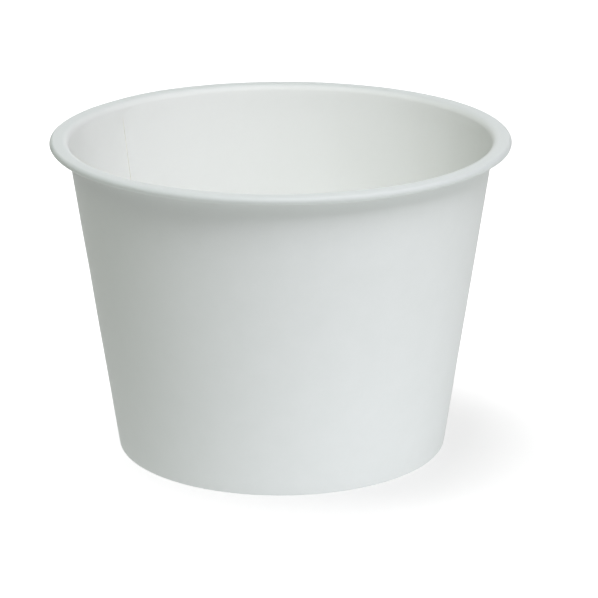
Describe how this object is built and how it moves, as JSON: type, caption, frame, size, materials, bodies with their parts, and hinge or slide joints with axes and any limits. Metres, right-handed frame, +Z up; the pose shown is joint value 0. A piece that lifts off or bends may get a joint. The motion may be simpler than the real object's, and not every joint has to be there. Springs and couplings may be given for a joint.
{
  "type": "paper cup",
  "caption": "Plain white paper sundae cup: tapered round wall with a lapped side seam, flattened rolled lip that takes a lid, hemmed foot and a recessed sealed bottom.",
  "frame": {"origin": "on the cup's axis, in the plane that the foot rests on", "axes": "+Z up along the cup's axis; -Y towards the camera of the picture, so the side seam stands at the back left"},
  "size_m": [0.09, 0.09, 0.0627],
  "materials": {
    "wall_board": "smooth white paperboard with a thin satin coating on both faces",
    "disc_board": "smooth white paperboard, coated on its upper face"
  },
  "bodies": {
    "root": {"side_wall": "wall_board", "bottom_disc": "disc_board"}
  },
  "joints": []
}
